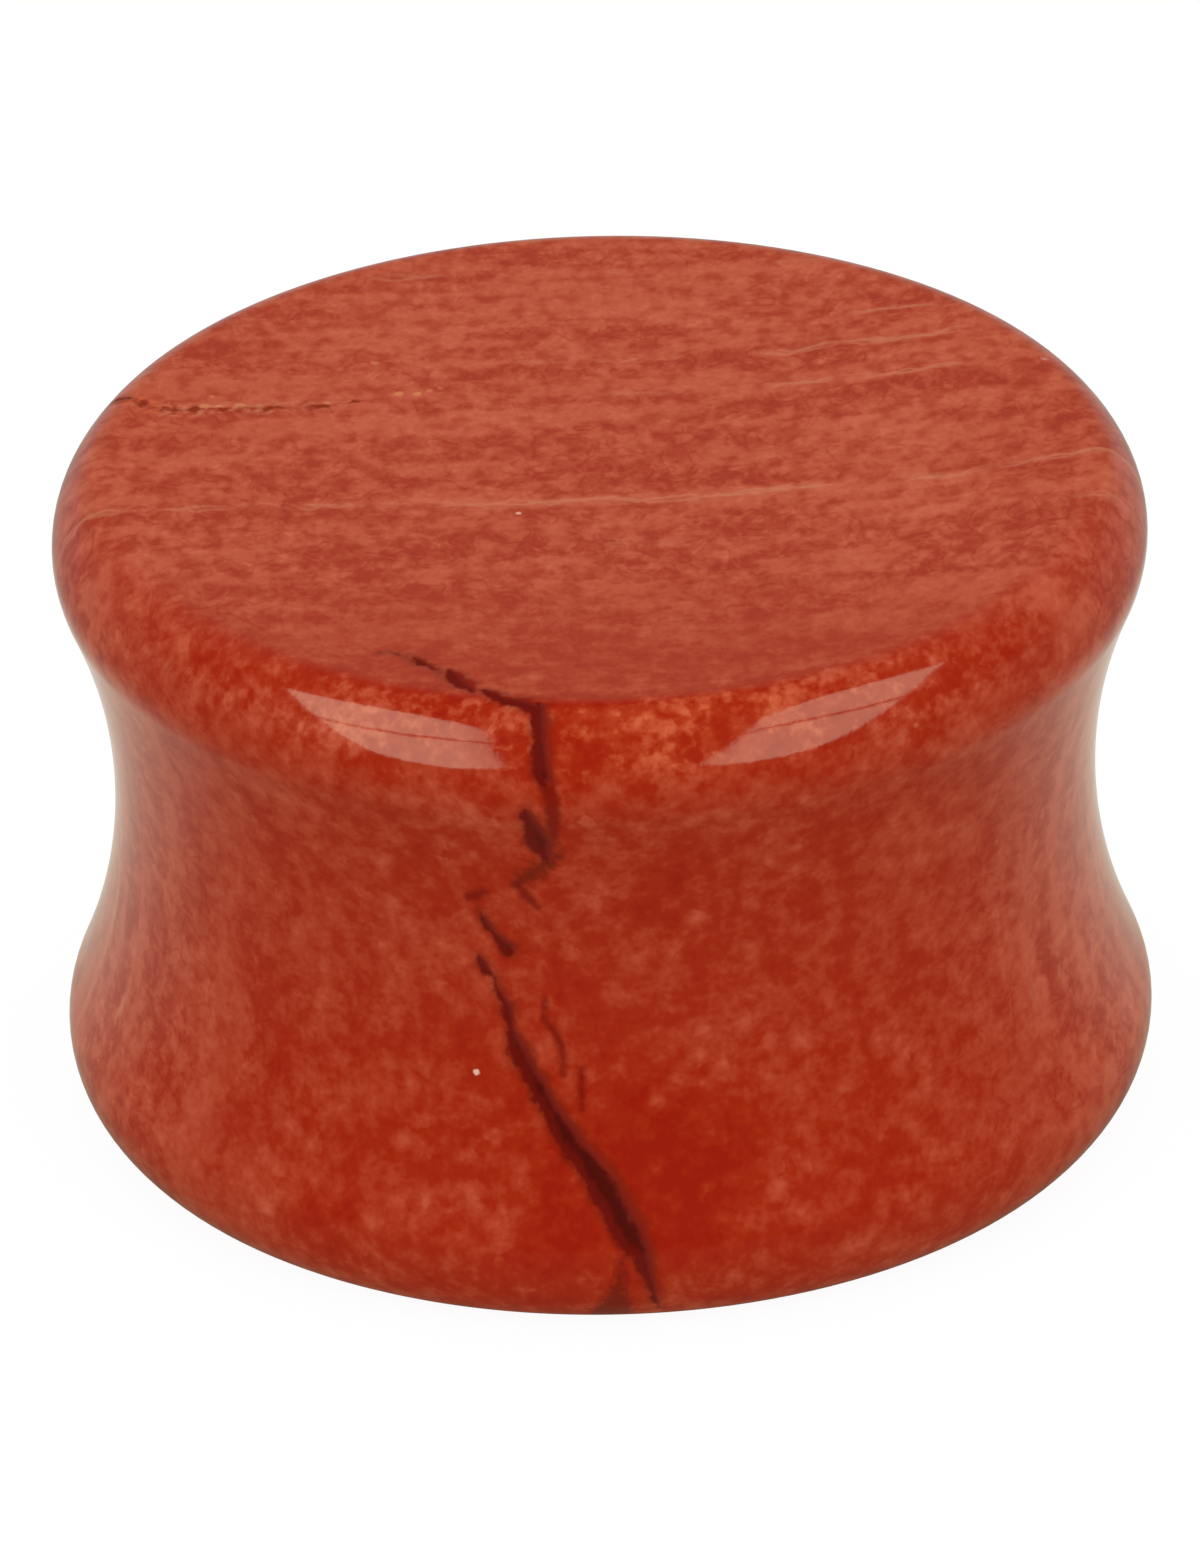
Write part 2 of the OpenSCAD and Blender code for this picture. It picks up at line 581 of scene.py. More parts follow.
def groove_depth(across, width, sizes):
    """Depth of a wholly open flaw, by where across it a point lies and by the flaw's width.

    Across is -1 at the steep side and 1 at the other. The depth rises smoothly to its
    greatest value within a quarter of the width, and then falls off to the other side.
    That value is a quarter of the width, at most the depth of the flaws.
    """
    greatest = np.minimum(sizes.flaw_depth, 0.25*width)
    return greatest*smooth((across + 1)*2)*(1 - np.clip((across + 0.5)/1.5, 0, 1)**1.2)


def flaw_relief(points, normals, sizes):
    """Depth of the flaws at each point, and the numbers of theirs that the material reads.

    An open flaw is as deep as its groove times its openness, a hairline is evenly shallow,
    and both grow from 0 to that depth within the wall at their ragged outline.
    """
    vein, vein_across, vein_width, openness = join_flaws(points, normals, [
        *((flaw_on_top(rows, sizes), share) for rows, share in VEIN_ON_TOP),
        *((flaw_on_side(rows, sizes), share) for rows, share in VEIN_ON_SIDE),
    ])
    crack, crack_across, crack_width, crack_openness = join_flaws(
        points, normals, [(flaw_on_top(CRACK, sizes), CRACK_OPENNESS)]
    )
    hairline, stain = (
        join_flaws(points, normals, [(flaw_on_side(rows, sizes), 1) for rows in flaws])[0]
        for flaws in (HAIRLINES, STAINS)
    )
    ragged = sum(
        reach*ripple(points, size, seed)
        for seed, (reach, size) in enumerate(RAGGED_RIPPLES, 1)
    )
    vein = vein + ragged
    crack = crack + CRACK_RAGGEDNESS*ragged

    # The vein is steep on its right
    vein_depth = openness*groove_depth(-vein_across, vein_width, sizes)*smooth(vein/FLAW_WALL)
    crack_depth = crack_openness*groove_depth(crack_across, crack_width, sizes)
    crack_depth = crack_depth*smooth(crack/FLAW_WALL)
    crumbs = CRUMB_MIDDLE + CRUMB_REACH*ripple(points, CRUMB_SIZE, CRUMB_SEED)
    depth = np.maximum(vein_depth, crack_depth)*np.clip(crumbs, CRUMB_LEAST, 1)
    hairline_depth = HAIRLINE_OPENNESS*sizes.flaw_depth*smooth((hairline + ragged)/HAIRLINE_WALL)
    return np.maximum(depth, hairline_depth), {
        "vein": vein/MM,
        "vein_across": vein_across,
        "hairline": hairline/MM,
        "stain": stain/MM,
        "crack": crack/MM,
    }


def closed_lathe_mesh(name, points, top, bottom):
    """Mesh of a closed surface from a grid of points whose columns go round the axis.

    Row by row each cell is one quad, the last column joins the first, and a fan of
    triangles closes each end at its pole.
    """
    rows, columns = points.shape[:2]
    vertices = np.concatenate([points.reshape(-1, 3), [top, bottom]])
    here = np.arange(columns)
    after = (here + 1) % columns
    row = np.arange(rows - 1)[:, None]*columns
    quads = np.stack([row + here, row + columns + here, row + columns + after, row + after], -1)
    top_index = rows*columns
    last = (rows - 1)*columns
    fan_top = np.stack([np.full(columns, top_index), here, after], -1)
    fan_bottom = np.stack([np.full(columns, top_index + 1), last + after, last + here], -1)
    faces = quads.reshape(-1, 4).tolist() + fan_top.tolist() + fan_bottom.tolist()
    mesh = bpy.data.meshes.new(name)
    mesh.from_pydata(vertices.tolist(), [], faces)
    mesh.shade_smooth()
    mesh.validate()
    return mesh


def give_attribute(mesh, name, values):
    """Stores one number for each vertex under a name that materials can read."""
    attribute = mesh.attributes.new(name, "FLOAT", "POINT")
    attribute.data.foreach_set("value", np.ascontiguousarray(values, np.float32))


def plug_mesh(sizes):
    """Mesh of the plug with its open vein, its crack and the numbers its material reads.

    Each point of the turned form moves inwards along its normal by the depth of the flaws
    there. The numbers are held between -1 and 1, and are -1 at the poles.
    """
    grid, grid_normals = turned_grid(sizes)
    points, normals = grid.reshape(-1, 3), grid_normals.reshape(-1, 3)
    depth, numbers = flaw_relief(points, normals, sizes)
    sunk = points - normals*depth[:, None]
    mesh = closed_lathe_mesh("plug_stone", sunk.reshape(grid.shape), (0, 0, sizes.length), (0, 0, 0))
    for name, values in numbers.items():
        give_attribute(mesh, name, np.append(np.clip(values, -1, 1), [-1, -1]))
    return mesh


# Shader building blocks

FLOAT, VECTOR = "NodeSocketFloat", "NodeSocketVector"


def rgba(colour):
    """The colour with full opacity."""
    return (*colour, 1.0)


class Nodes:
    """Adds nodes to a tree. What they are given is values, or the sockets that feed them."""

    def __init__(self, tree):
        self.tree = tree

    def feed(self, node, inputs):
        """Gives a node its inputs, each by its name or number."""
        for key, value in dict(inputs).items():
            if isinstance(value, bpy.types.NodeSocket):
                self.tree.links.new(value, node.inputs[key])
            else:
                node.inputs[key].default_value = value

    def add(self, kind, inputs=(), **settings):
        """A new node with its settings set by name and its inputs fed."""
        node = self.tree.nodes.new("ShaderNode" + kind)
        for name, value in settings.items():
            setattr(node, name, value)
        self.feed(node, inputs)
        return node

    def calc(self, operation, *values):
        """Output of a Math node with those values."""
        return self.add("Math", enumerate(values), operation=operation).outputs[0]

    def times(self, first, second):
        """First times second."""
        return self.calc("MULTIPLY", first, second)

    def less(self, first, second):
        """First less second."""
        return self.calc("SUBTRACT", first, second)

    def plus(self, first, second, share=1.0):
        """First plus that share of second."""
        return self.calc("MULTIPLY_ADD", second, share, first)

    def rise(self, value, low, high):
        """0 where the value is at low and 1 where it is at high, with a smooth step between."""
        inputs = {"Value": value, "From Min": low, "From Max": high}
        return self.add("MapRange", inputs, interpolation_type="SMOOTHSTEP").outputs["Result"]

    def fade(self, value, low, high):
        """1 where the value is at low and 0 where it is at high, with a smooth step between."""
        return self.less(1.0, self.rise(value, low, high))

    def vector(self, operation, *values, output="Vector", **named):
        """Output of a Vector Math node with those values and others given by name."""
        inputs = {**dict(enumerate(values)), **named}
        return self.add("VectorMath", inputs, operation=operation).outputs[output]

    def split(self, vector):
        """X, Y and Z of the vector."""
        return self.add("SeparateXYZ", {0: vector}).outputs

    def join(self, x, y, z):
        """The vector with those parts."""
        return self.add("CombineXYZ", {0: x, 1: y, 2: z}).outputs[0]

    def squeezed(self, position, squeeze, size):
        """Position divided by size, and stretched across the beds by squeeze."""
        across = self.calc("DIVIDE", squeeze, size)
        along = self.calc("DIVIDE", 1.0, size)
        return self.vector("MULTIPLY", position, self.join(along, across, along))

    def noise(self, vector, scale, detail=2.0, roughness=0.5, distortion=0.0, output="Fac"):
        """Output of a Noise Texture node."""
        return self.add("TexNoise", {
            "Vector": vector,
            "Scale": scale,
            "Detail": detail,
            "Roughness": roughness,
            "Distortion": distortion,
        }).outputs[output]

    def mix(self, share, first, second):
        """Colour that goes from first to second as share goes from 0 to 1."""
        node = self.add("Mix", {0: share, 6: first, 7: second}, data_type="RGBA")
        return node.outputs[2]

    def ramp(self, value, stops):
        """Colour by value. Each stop is a place and the colour there, from low to high."""
        node = self.add("ValToRGB", {0: value})
        elements = node.color_ramp.elements
        elements[0].position = stops[0][0]
        elements[1].position = stops[-1][0]
        for place, _ in stops[1:-1]:
            elements.new(place)
        for element, (_, colour) in zip(elements, stops):
            element.color = rgba(colour)
        return node.outputs["Color"]

    def attribute(self, name):
        """The number that the mesh stores under that name."""
        return self.add("Attribute", attribute_name=name).outputs["Fac"]

    def group(self, tree, inputs=()):
        """Outputs of a new node that holds the group with that tree."""
        return self.add("Group", inputs, node_tree=tree).outputs

    def shader(self, kind, **inputs):
        """Output of a shader node of that kind."""
        return self.add(kind, inputs).outputs[0]

    def by_ray(self, seen, mirrored, lighting):
        """What the camera sees, what the polish mirrors and what lights all else, as one."""
        rays = self.add("LightPath").outputs
        other = self.add("MixShader", {0: rays["Is Glossy Ray"], 1: lighting, 2: mirrored})
        whole = self.add("MixShader", {0: rays["Is Camera Ray"], 1: other.outputs[0], 2: seen})
        return whole.outputs[0]


def new_group(name, inputs, outputs):
    """An empty node group: what adds its nodes, what it is given, and its output node.

    Inputs are names with a number at first, or with None for a vector. Outputs are names
    with their kinds.
    """
    tree = bpy.data.node_groups.new(name, "ShaderNodeTree")
    for socket_name, value in inputs.items():
        kind = VECTOR if value is None else FLOAT
        socket = tree.interface.new_socket(socket_name, in_out="INPUT", socket_type=kind)
        if value is not None:
            socket.default_value = value
    for socket_name, kind in outputs.items():
        tree.interface.new_socket(socket_name, in_out="OUTPUT", socket_type=kind)
    given = tree.nodes.new("NodeGroupInput").outputs
    return Nodes(tree), given, tree.nodes.new("NodeGroupOutput")


def new_material(name):
    """A material without nodes, and what adds them."""
    material = bpy.data.materials.new(name)
    material.use_nodes = True
    material.node_tree.nodes.clear()
    return material, Nodes(material.node_tree)


# Patterns of the stone


def beds_group():
    """Position in the stone in millimetres, with the stone's beds laid flat.

    The beds stand upright, across Y. To the right of the axis they bend away by Bend times
    x squared, and everywhere they waver by a soft noise. Position has that taken out, so a
    pattern squeezed across Y follows the beds. Height is its Y, and Plain is the true
    position.
    """
    nodes, given, out = new_group(
        "Beds",
        {"Bend": 0.018, "Waver": 0.3},
        {"Position": VECTOR, "Height": FLOAT, "Plain": VECTOR},
    )
    plain = nodes.vector("SCALE", nodes.add("TexCoord").outputs["Object"], Scale=1/MM)
    x, y, z = nodes.split(plain)
    right = nodes.calc("MAXIMUM", x, 0.0)
    bend = nodes.times(nodes.times(right, right), given["Bend"])
    waver = nodes.times(nodes.less(nodes.noise(plain, 0.35), 0.5), given["Waver"])
    across = nodes.calc("ADD", nodes.less(y, bend), waver)
    nodes.feed(out, {"Position": nodes.join(x, across, z), "Height": across, "Plain": plain})
    return nodes.tree


def spots_group():
    """Mask of soft round spots, one or none in each of a crowd of cells of that Size.

    A spot is 1 at its cell's own point and fades to 0 at Reach cells from it. Cells whose
    own random number is below Missing have none.
    """
    nodes, given, out = new_group(
        "Spots",
        {"Position": None, "Size": 0.4, "Reach": 0.5, "Missing": 0.3},
        {"Mask": FLOAT},
    )
    scale = nodes.calc("DIVIDE", 1.0, given["Size"])
    cells = nodes.add("TexVoronoi", {"Vector": given["Position"], "Scale": scale}).outputs
    spot = nodes.fade(cells["Distance"], 0.0, given["Reach"])
    chance = nodes.split(cells["Color"])[0]
    kept = nodes.rise(chance, given["Missing"], nodes.calc("ADD", given["Missing"], 0.5))
    nodes.feed(out, {"Mask": nodes.times(spot, kept)})
    return nodes.tree


def network_group():
    """Mask of a network of thin lines, which run where a noise passes through its middle."""
    nodes, given, out = new_group(
        "Network",
        {"Position": None, "Size": 0.5, "Squeeze": 2.0, "Width": 0.05},
        {"Mask": FLOAT},
    )
    place = nodes.squeezed(given["Position"], given["Squeeze"], given["Size"])
    gap = nodes.calc("ABSOLUTE", nodes.less(nodes.noise(place, 1.0, distortion=0.8), 0.5))
    nodes.feed(out, {"Mask": nodes.fade(gap, 0.0, given["Width"])})
    return nodes.tree


def seam_group():
    """Mask of a pale seam that lies in one bed, at Place across the beds, broken by noise.

    It is a soft band of half width Width, with two fine lines that part and meet inside it.
    """
    nodes, given, out = new_group(
        "Seam",
        {"Position": None, "Height": 0.0, "Place": 0.0, "Width": 0.15, "Breaks": 0.45},
        {"Mask": FLOAT},
    )

    def line(drift_size, drift_reach, offset, width):
        """A line of that half width that drifts across the beds, its drift set by offset."""
        place = nodes.vector("ADD", given["Position"], offset)
        drift = nodes.less(nodes.noise(place, 1/drift_size, detail=3.0), 0.5)
        height = nodes.plus(given["Height"], drift, drift_reach)
        return nodes.fade(nodes.calc("ABSOLUTE", nodes.less(height, given["Place"])), 0.0, width)

    band = line(1.3, 0.60, (0.0, 0.0, 0.0), given["Width"])
    first = line(1.1, 0.85, (0.0, 0.0, 0.0), 0.09)
    second = line(0.9, 1.00, (31.0, 7.0, 0.0), 0.07)
    mask = nodes.plus(nodes.times(band, 0.30), nodes.calc("MAXIMUM", first, second), 0.60)
    shifted = nodes.vector("ADD", given["Position"], (7.0, 0.0, 3.0))
    whole = nodes.noise(nodes.squeezed(shifted, 0.3, 2.2), 1.0, detail=3.0)
    kept = nodes.rise(whole, given["Breaks"], nodes.calc("ADD", given["Breaks"], 0.15))
    nodes.feed(out, {"Mask": nodes.times(mask, kept)})
    return nodes.tree


def speck_group():
    """Mask of one small ragged grain: 1 within Radius of Centre, soft at its edge."""
    nodes, given, out = new_group(
        "Speck",
        {"Position": None, "Centre": None, "Radius": 0.06},
        {"Mask": FLOAT},
    )
    gap = nodes.vector("DISTANCE", given["Position"], given["Centre"], output="Value")
    gap = nodes.plus(gap, nodes.less(nodes.noise(given["Position"], 9.0), 0.5), 0.08)
    share = nodes.calc("DIVIDE", gap, given["Radius"])
    nodes.feed(out, {"Mask": nodes.fade(share, 0.55, 1.25)})
    return nodes.tree


class StoneNodes(Nodes):
    """Adds the stone's nodes, with its beds, its own noises and the groups it is made of."""

    def __init__(self, tree):
        super().__init__(tree)
        beds = self.group(beds_group())
        self.position, self.height, self.plain = beds["Position"], beds["Height"], beds["Plain"]
        self.x, self.y, self.z = self.split(self.plain)
        self.spot_cells = spots_group()
        self.network_lines = network_group()
        self.bed_seam = seam_group()
        self.round_speck = speck_group()
        drift = self.noise(self.position, 5.0, output="Color")
        self.ragged = self.vector("MULTIPLY_ADD", drift, (0.28, 0.28, 0.28), self.position)
        self.grain = self.lumps((0.0, 21.0, 0.0), 0.12, 0.8, detail=2.0)
        self.wobble = self.less(self.noise(self.plain, 8.0, detail=3.0, roughness=0.6), 0.5)

    def lumps(self, offset, size, squeeze=1.0, detail=3.0, roughness=0.5):
        """Noise with lumps of that size along the beds, less its middle value.

        The offset moves it, so that each use has lumps of its own.
        """
        place = self.squeezed(self.vector("ADD", self.position, offset), squeeze, size)
        return self.less(self.noise(place, 1.0, detail, roughness), 0.5)

    def spots(self, size, reach, missing):
        """Soft spots in cells of that size, their outlines a little ragged."""
        return self.group(self.spot_cells, {
            "Position": self.ragged, "Size": size, "Reach": reach, "Missing": missing,
        })["Mask"]

    def network(self, size, squeeze, width):
        """A network of thin lines."""
        return self.group(self.network_lines, {
            "Position": self.position, "Size": size, "Squeeze": squeeze, "Width": width,
        })["Mask"]

    def seam(self, place, width, breaks):
        """A pale seam in one bed."""
        return self.group(self.bed_seam, {
            "Position": self.position, "Height": self.height, "Place": place, "Width": width,
            "Breaks": breaks,
        })["Mask"]

    def speck(self, centre, radius):
        """One ragged grain."""
        return self.group(self.round_speck, {
            "Position": self.plain, "Centre": centre, "Radius": radius,
        })["Mask"]


# Tones of the stone run from 0 for the deepest red to 1 for the palest.


def tone_near_vein(stone):
    """Tone near the vein: deep red, with soft pale spots in clusters."""
    clusters = stone.rise(stone.lumps((17.0, 2.0, 2.0), 1.5, detail=2.0), -0.12, 0.16)
    spots = stone.plus(stone.spots(0.46, 0.80, 0.10), stone.spots(0.22, 0.75, 0.45), 0.45)
    spots = stone.times(spots, stone.plus(0.50, clusters, 0.50))
    tone = stone.plus(0.26, stone.lumps((8.0, 0.0, 4.0), 1.7, 1.5), 0.65)
    tone = stone.plus(tone, stone.lumps((3.0, 9.0, 1.0), 1.6, 7.0), 0.45)
    tone = stone.plus(tone, stone.lumps((5.0, 1.0, 8.0), 0.36, 1.1, detail=2.0), 0.85)
    tone = stone.plus(tone, stone.grain, 0.40)
    return stone.plus(tone, spots, 0.36)


def tone_past_axis(stone):
    """Tone past the axis: paler, with soft dark mottles and thin dark rings in bands."""
    bands = stone.lumps((0.0, 0.0, 0.0), 3.6, 4.5)
    mottles = stone.lumps((5.0, 5.0, 9.0), 0.44, 0.85, roughness=0.55)
    mottles = stone.rise(stone.plus(mottles, bands, 0.6), -0.14, 0.20)
    rings = stone.times(stone.network(0.50, 0.8, 0.085), stone.rise(bands, -0.10, 0.06))
    tone = stone.plus(0.78, stone.lumps((9.0, 3.0, 0.0), 4.0, 6.0), 0.35)
    tone = stone.plus(tone, stone.grain, 0.38)
    tone = stone.plus(tone, stone.lumps((4.0, 9.0, 3.0), 0.22, 0.8), 0.40)
    tone = stone.plus(tone, mottles, -0.43)
    return stone.plus(tone, rings, -0.22)


# Zones of the front flare, in millimetres. Heights are above the floor and reaches are from
# the axis. In each pair the zone begins at the first number and is full at the second.
LIP_BOTTOM = (11.0, 11.9)
LIP_REACH = (8.95, 9.2)
# Under the lip: the band where painted light lifts the tone
UNDER_LIP_BOTTOM = (9.6, 10.4)
UNDER_LIP_TOP = (12.0, 11.4)
FACE_LINE_BOTTOM = (12.1, 12.4)
FACE_LINE_REACH = 9.02
FACE_LINE_WIDTH = (0.26, 0.06)
CRUMBS_MIDDLE = 1.0
CRUMBS_WIDTH = (3.5, 1.5)


def crumbly_lip(stone, tone):
    """The tone with the front lip worked in, and the mask of the crumbs beside the vein.

    The lip is crumbly: fine pale flecks crowd between spots of the deepest red, most of all
    beside the vein. Underneath it the tone is lifted a little, which is painted light, and an
    uneven line of plain deep red runs round the face's edge. A noise added to the reach makes
    the zones' edges waver.
    """
    reach = stone.times(stone.y, stone.y)
    reach = stone.calc("SQRT", stone.plus(reach, stone.x, stone.x))
    reach = stone.plus(reach, stone.lumps((7.0, 7.0, 1.0), 0.45), 0.90)
    lip = stone.times(stone.rise(stone.z, *LIP_BOTTOM), stone.rise(reach, *LIP_REACH))
    aside = stone.calc("ABSOLUTE", stone.less(stone.x, CRUMBS_MIDDLE))
    crumbs = stone.lumps((6.0, 3.0, 5.0), 0.24, roughness=0.55)
    crumbs = stone.plus(crumbs, stone.lumps((2.0, 8.0, 6.0), 1.2), 0.65)
    crumbs = stone.plus(-0.10, stone.rise(crumbs, -0.07, 0.20), 0.78)
    crumbs = stone.plus(crumbs, stone.rise(aside, *reversed(CRUMBS_WIDTH)), -0.02)
    tone = stone.plus(tone, stone.times(lip, crumbs), 0.64)
    # Painted light: the tone lifted a little in a band under the lip
    painted_light_under_lip = stone.times(
        stone.rise(stone.z, *UNDER_LIP_BOTTOM), stone.rise(stone.z, *UNDER_LIP_TOP)
    )
    tone = stone.plus(tone, painted_light_under_lip, 0.09)
    from_line = stone.calc("ABSOLUTE", stone.less(reach, FACE_LINE_REACH))
    line = stone.times(
        stone.rise(stone.z, *FACE_LINE_BOTTOM), stone.rise(from_line, *FACE_LINE_WIDTH)
    )
    tone = stone.plus(tone, line, -0.20)
    return tone, stone.times(lip, stone.rise(aside, *CRUMBS_WIDTH))


# Distances past the axis between which the tone changes, and the place and radius of the
# deeper red beside the vein's wide lower part, all in millimetres
CHANGE_OF_TONE = (-10.0, -3.0)
DEEP_PATCH = (0.3, -9.5, 2.8)
DEEP_PATCH_RADIUS = 2.0

# What the crumbs beside the vein do to the stone's red, green and blue: they are more orange
ORANGE_SHIFT = (1.0, 0.90, 0.70)


def stone_colour(stone, finish):
    """Colour of the plain stone: its tones, with the patch of deeper red by the vein."""
    near, by_vein = crumbly_lip(stone, tone_near_vein(stone))
    past_axis = stone.less(tone_past_axis(stone), near)
    tone = stone.plus(near, past_axis, stone.rise(stone.y, *CHANGE_OF_TONE))
    tone = stone.plus(tone, stone.speck(DEEP_PATCH, DEEP_PATCH_RADIUS), -0.24)
    colour = stone.ramp(tone, (
        (0.0, finish.deep_red),
        (0.28, finish.red),
        (0.54, finish.warm_red),
        (0.78, finish.pale_red),
        (1.0, finish.palest_red),
    ))
    return stone.mix(by_vein, colour, stone.vector("MULTIPLY", colour, ORANGE_SHIFT))


# Seams along the beds: place across the beds and half width in millimetres, and the level
# of noise below which the seam breaks off
SEAMS = (
    (-1.42, 0.24, 0.35),
    (-3.10, 0.20, 0.56),
    (2.75, 0.16, 0.50),
    (4.15, 0.20, 0.48),
    (5.40, 0.14, 0.52),
    (7.60, 0.16, 0.50),
    (-6.10, 0.10, 0.60),
)

# Pale grains: aside, away and height in millimetres, radius, and how white they are
GRAINS = (
    (-1.46, -1.86, 12.60, 0.050, 0.55),
    (-2.45, -8.76, 4.89, 0.070, 0.74),
    (8.25, 3.76, 12.60, 0.075, 0.18),
)

# Amber flecks along the crack and one on the lip, with the same columns
FLECKS = (
    (5.57, -8.26, 11.51, 0.055, 0.30),
    (-7.20, 2.62, 12.60, 0.110, 0.55),
    (-6.92, 2.60, 12.60, 0.080, 0.60),
    (-6.54, 2.62, 12.60, 0.100, 0.60),
    (-6.16, 2.58, 12.60, 0.080, 0.50),
    (-7.05, 3.02, 12.60, 0.070, 0.45),
    (-4.95, 2.66, 12.60, 0.070, 0.45),
    (-3.62, 2.95, 12.60, 0.095, 0.60),
    (-3.28, 2.92, 12.60, 0.080, 0.60),
    (-3.06, 3.05, 12.60, 0.070, 0.40),
    (-4.06, 4.20, 12.60, 0.080, 0.40),
    (-2.86, 3.12, 12.60, 0.060, 0.35),
)


def add_seams_and_grains(stone, colour, finish):
    """The colour with the pale seams, the white grains and the amber flecks on it."""
    for place, width, breaks in SEAMS:
        share = stone.times(stone.seam(place, width, breaks), 0.62)
        colour = stone.mix(share, colour, rgba(finish.seam))
    for rows, grain_colour in ((GRAINS, finish.quartz), (FLECKS, finish.amber)):
        for *centre, radius, strength in rows:
            share = stone.times(stone.speck(centre, radius), strength)
            colour = stone.mix(share, colour, rgba(grain_colour))
    return colour


def add_stains(stone, colour, finish):
    """The colour with the rusty stains and the hairlines on it."""
    stain = stone.plus(stone.attribute("stain"), stone.wobble, 0.45)
    stain = stone.times(stone.rise(stain, -0.14, 0.16), 0.85)
    colour = stone.mix(stain, colour, rgba(finish.rust))
    hairline = stone.plus(stone.attribute("hairline"), stone.wobble, 0.15)
    hairline = stone.times(stone.rise(hairline, -0.12, 0.07), 0.90)
    return stone.mix(hairline, colour, rgba(finish.hairline))


# Where the crack's crumbs turn orange towards the rim, and where they end on the face, in
# millimetres aside of the axis
ORANGE_CRUMBS = (-7.6, -8.3)
END_OF_CRUMBS = (-4.2, -6.0)


def add_crack(stone, colour, finish):
    """The colour with the crack on it, and the crack's mask.

    It is a row of brown pits with pale crumbs between them, orange near the rim.
    """
    inside = stone.attribute("crack")
    crumbs = stone.rise(stone.lumps((1.0, 2.0, 3.0), 0.17, detail=2.0), -0.08, 0.08)
    crumbs = stone.times(crumbs, stone.rise(inside, -0.26, -0.02))
    at_rim = stone.rise(stone.x, *ORANGE_CRUMBS)
    crumbs = stone.times(crumbs, stone.plus(0.50, at_rim, 0.35))
    crumbs = stone.times(crumbs, stone.rise(stone.x, *END_OF_CRUMBS))
    crumb = stone.mix(at_rim, rgba(finish.seam), rgba(finish.rim_orange))
    colour = stone.mix(crumbs, colour, crumb)
    pits = stone.rise(stone.lumps((4.0, 1.0, 7.0), 0.30, detail=2.0), -0.04, 0.08)
    crack = stone.rise(stone.plus(inside, stone.wobble, 0.14), -0.06, 0.05)
    crack = stone.times(crack, stone.plus(0.42, pits, 0.53))
    return stone.mix(crack, colour, rgba(finish.crack)), crack


def add_vein(stone, colour, finish):
    """The colour with the vein and its rusty halo on it, and the vein's mask.

    The vein's dark filling runs from its left to deep red at its right. Its left side is
    darkened with painted shadow, and its heart with painted shade where it gapes widest.
    """
    inside = stone.plus(stone.attribute("vein"), stone.wobble, 0.17)
    halo = stone.times(stone.rise(inside, -0.18, 0.03), 0.5)
    colour = stone.mix(halo, colour, rgba(finish.rust))
    across = stone.plus(stone.attribute("vein_across"), stone.wobble, 0.9)
    # The vein's filling, with painted shadow on its left side, going to deep red on its right
    filling_and_shadow = stone.ramp(stone.plus(0.5, across, 0.5), (
        (0.40, finish.vein_fill_and_shadow),
        (0.64, finish.vein_maroon),
        (1.0, finish.vein_edge),
    ))
    # Painted shade: the vein made darkest deep inside, where it gapes widest
    heart_shade = stone.times(stone.rise(inside, 0.10, 0.24), 0.8)
    filling_and_shadow = stone.mix(heart_shade, filling_and_shadow, rgba(finish.vein_heart_fill_and_shade))
    vein = stone.rise(inside, -0.055, 0.045)
    return stone.mix(vein, colour, filling_and_shadow), vein


# Lean of the flaws' far walls in the front face, towards the vein's side, and the heights in
# millimetres between which it sets in
WALL_LEAN = (0.0, -0.28, 0.0)
WALL_LEAN_HEIGHT = (12.35, 12.5)
SKIN_DEPTH = 0.01*MM


def surface_normal(stone, flaws):
    """Normal of the polished skin, faintly uneven, and leaning in the front face's flaws."""
    skin = stone.noise(stone.plain, 3.0, detail=4.0, roughness=0.6)
    bump = stone.add("Bump", {"Height": skin, "Strength": 0.3, "Distance": SKIN_DEPTH})
    leaning = stone.times(flaws, stone.rise(stone.z, *WALL_LEAN_HEIGHT))
    lean = stone.add(
        "VectorTransform", {0: WALL_LEAN},
        vector_type="VECTOR", convert_from="OBJECT", convert_to="WORLD",
    )
    normal = stone.vector("MULTIPLY_ADD", lean.outputs[0], leaning, bump.outputs[0])
    return stone.vector("NORMALIZE", normal)


POLISHED, ROUGHER_IN_FLAWS = 0.09, 0.05
JASPER_IOR = 1.54


def jasper_material(finish):
    """Polished red jasper, mottled along upright beds, with its vein, stains and grains."""
    material = bpy.data.materials.new("jasper_polished")
    material.use_nodes = True
    stone = StoneNodes(material.node_tree)
    colour = stone_colour(stone, finish)
    colour = add_seams_and_grains(stone, colour, finish)
    colour = add_stains(stone, colour, finish)
    colour, crack = add_crack(stone, colour, finish)
    colour, vein = add_vein(stone, colour, finish)
    flaws = stone.calc("MAXIMUM", vein, crack)
    stone.feed(material.node_tree.nodes["Principled BSDF"], {
        "Base Color": colour,
        "Roughness": stone.plus(POLISHED, flaws, ROUGHER_IN_FLAWS),
        "IOR": JASPER_IOR,
        "Normal": surface_normal(stone, flaws),
    })
    return material


class EARPLUG_OT_make_plug(bpy.types.Operator):
    """Turns the stone plug, opens its vein and crack, and polishes it."""

    bl_idname = "earplug.make_plug"
    bl_label = "Make plug"

    def execute(self, context):
        scene = context.scene
        mesh = plug_mesh(scene.earplug_sizes)
        mesh.materials.append(jasper_material(scene.earplug_finish))
        plug = bpy.data.objects.new("plug_stone", mesh)
        scene.collection.objects.link(plug)
        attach(plug, "root")
        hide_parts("plug")
        return {"FINISHED"}


# Stage

